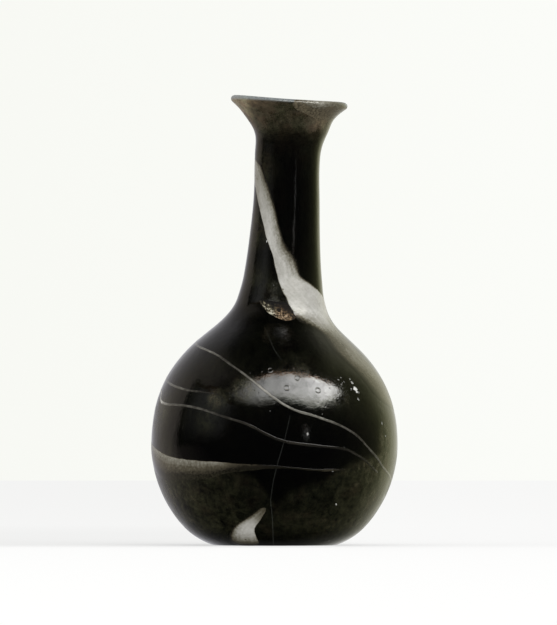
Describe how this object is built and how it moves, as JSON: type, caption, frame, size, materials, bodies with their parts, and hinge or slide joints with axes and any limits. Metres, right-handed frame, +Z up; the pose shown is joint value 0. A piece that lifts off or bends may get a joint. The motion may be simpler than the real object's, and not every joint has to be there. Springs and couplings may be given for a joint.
{
  "type": "glass perfume bottle",
  "caption": "Small round-bodied glass perfume bottle with a tall leaning neck, a flared open mouth, and trails of opaque white glass rolled flush into its dark wall.",
  "frame": {"origin": "middle of the flat base, on the plane that the bottle stands on", "axes": "+Z up from the base to the mouth, +X the side that the neck leans towards, -Y the front"},
  "size_m": [0.066, 0.066, 0.12],
  "materials": {
    "dark_glass": "blown and fire-polished, so dark that it looks black, finely pitted with age",
    "white_glass": "opaque white glass rolled flush with the wall, satin, greyer at thin edges",
    "pale_thread_glass": "thin opaque white thread, greyed where the dark glass shows through",
    "crusted_glass": "weathered white glass, flaking and stained brown"
  },
  "bodies": {
    "root": {"vessel": "dark_glass", "pontil_wad": "dark_glass", "broad_trail": "white_glass", "base_dab": "white_glass", "shoulder_thread": "pale_thread_glass", "waist_thread": "pale_thread_glass", "short_thread": "pale_thread_glass", "trail_scab": "crusted_glass"}
  },
  "joints": []
}
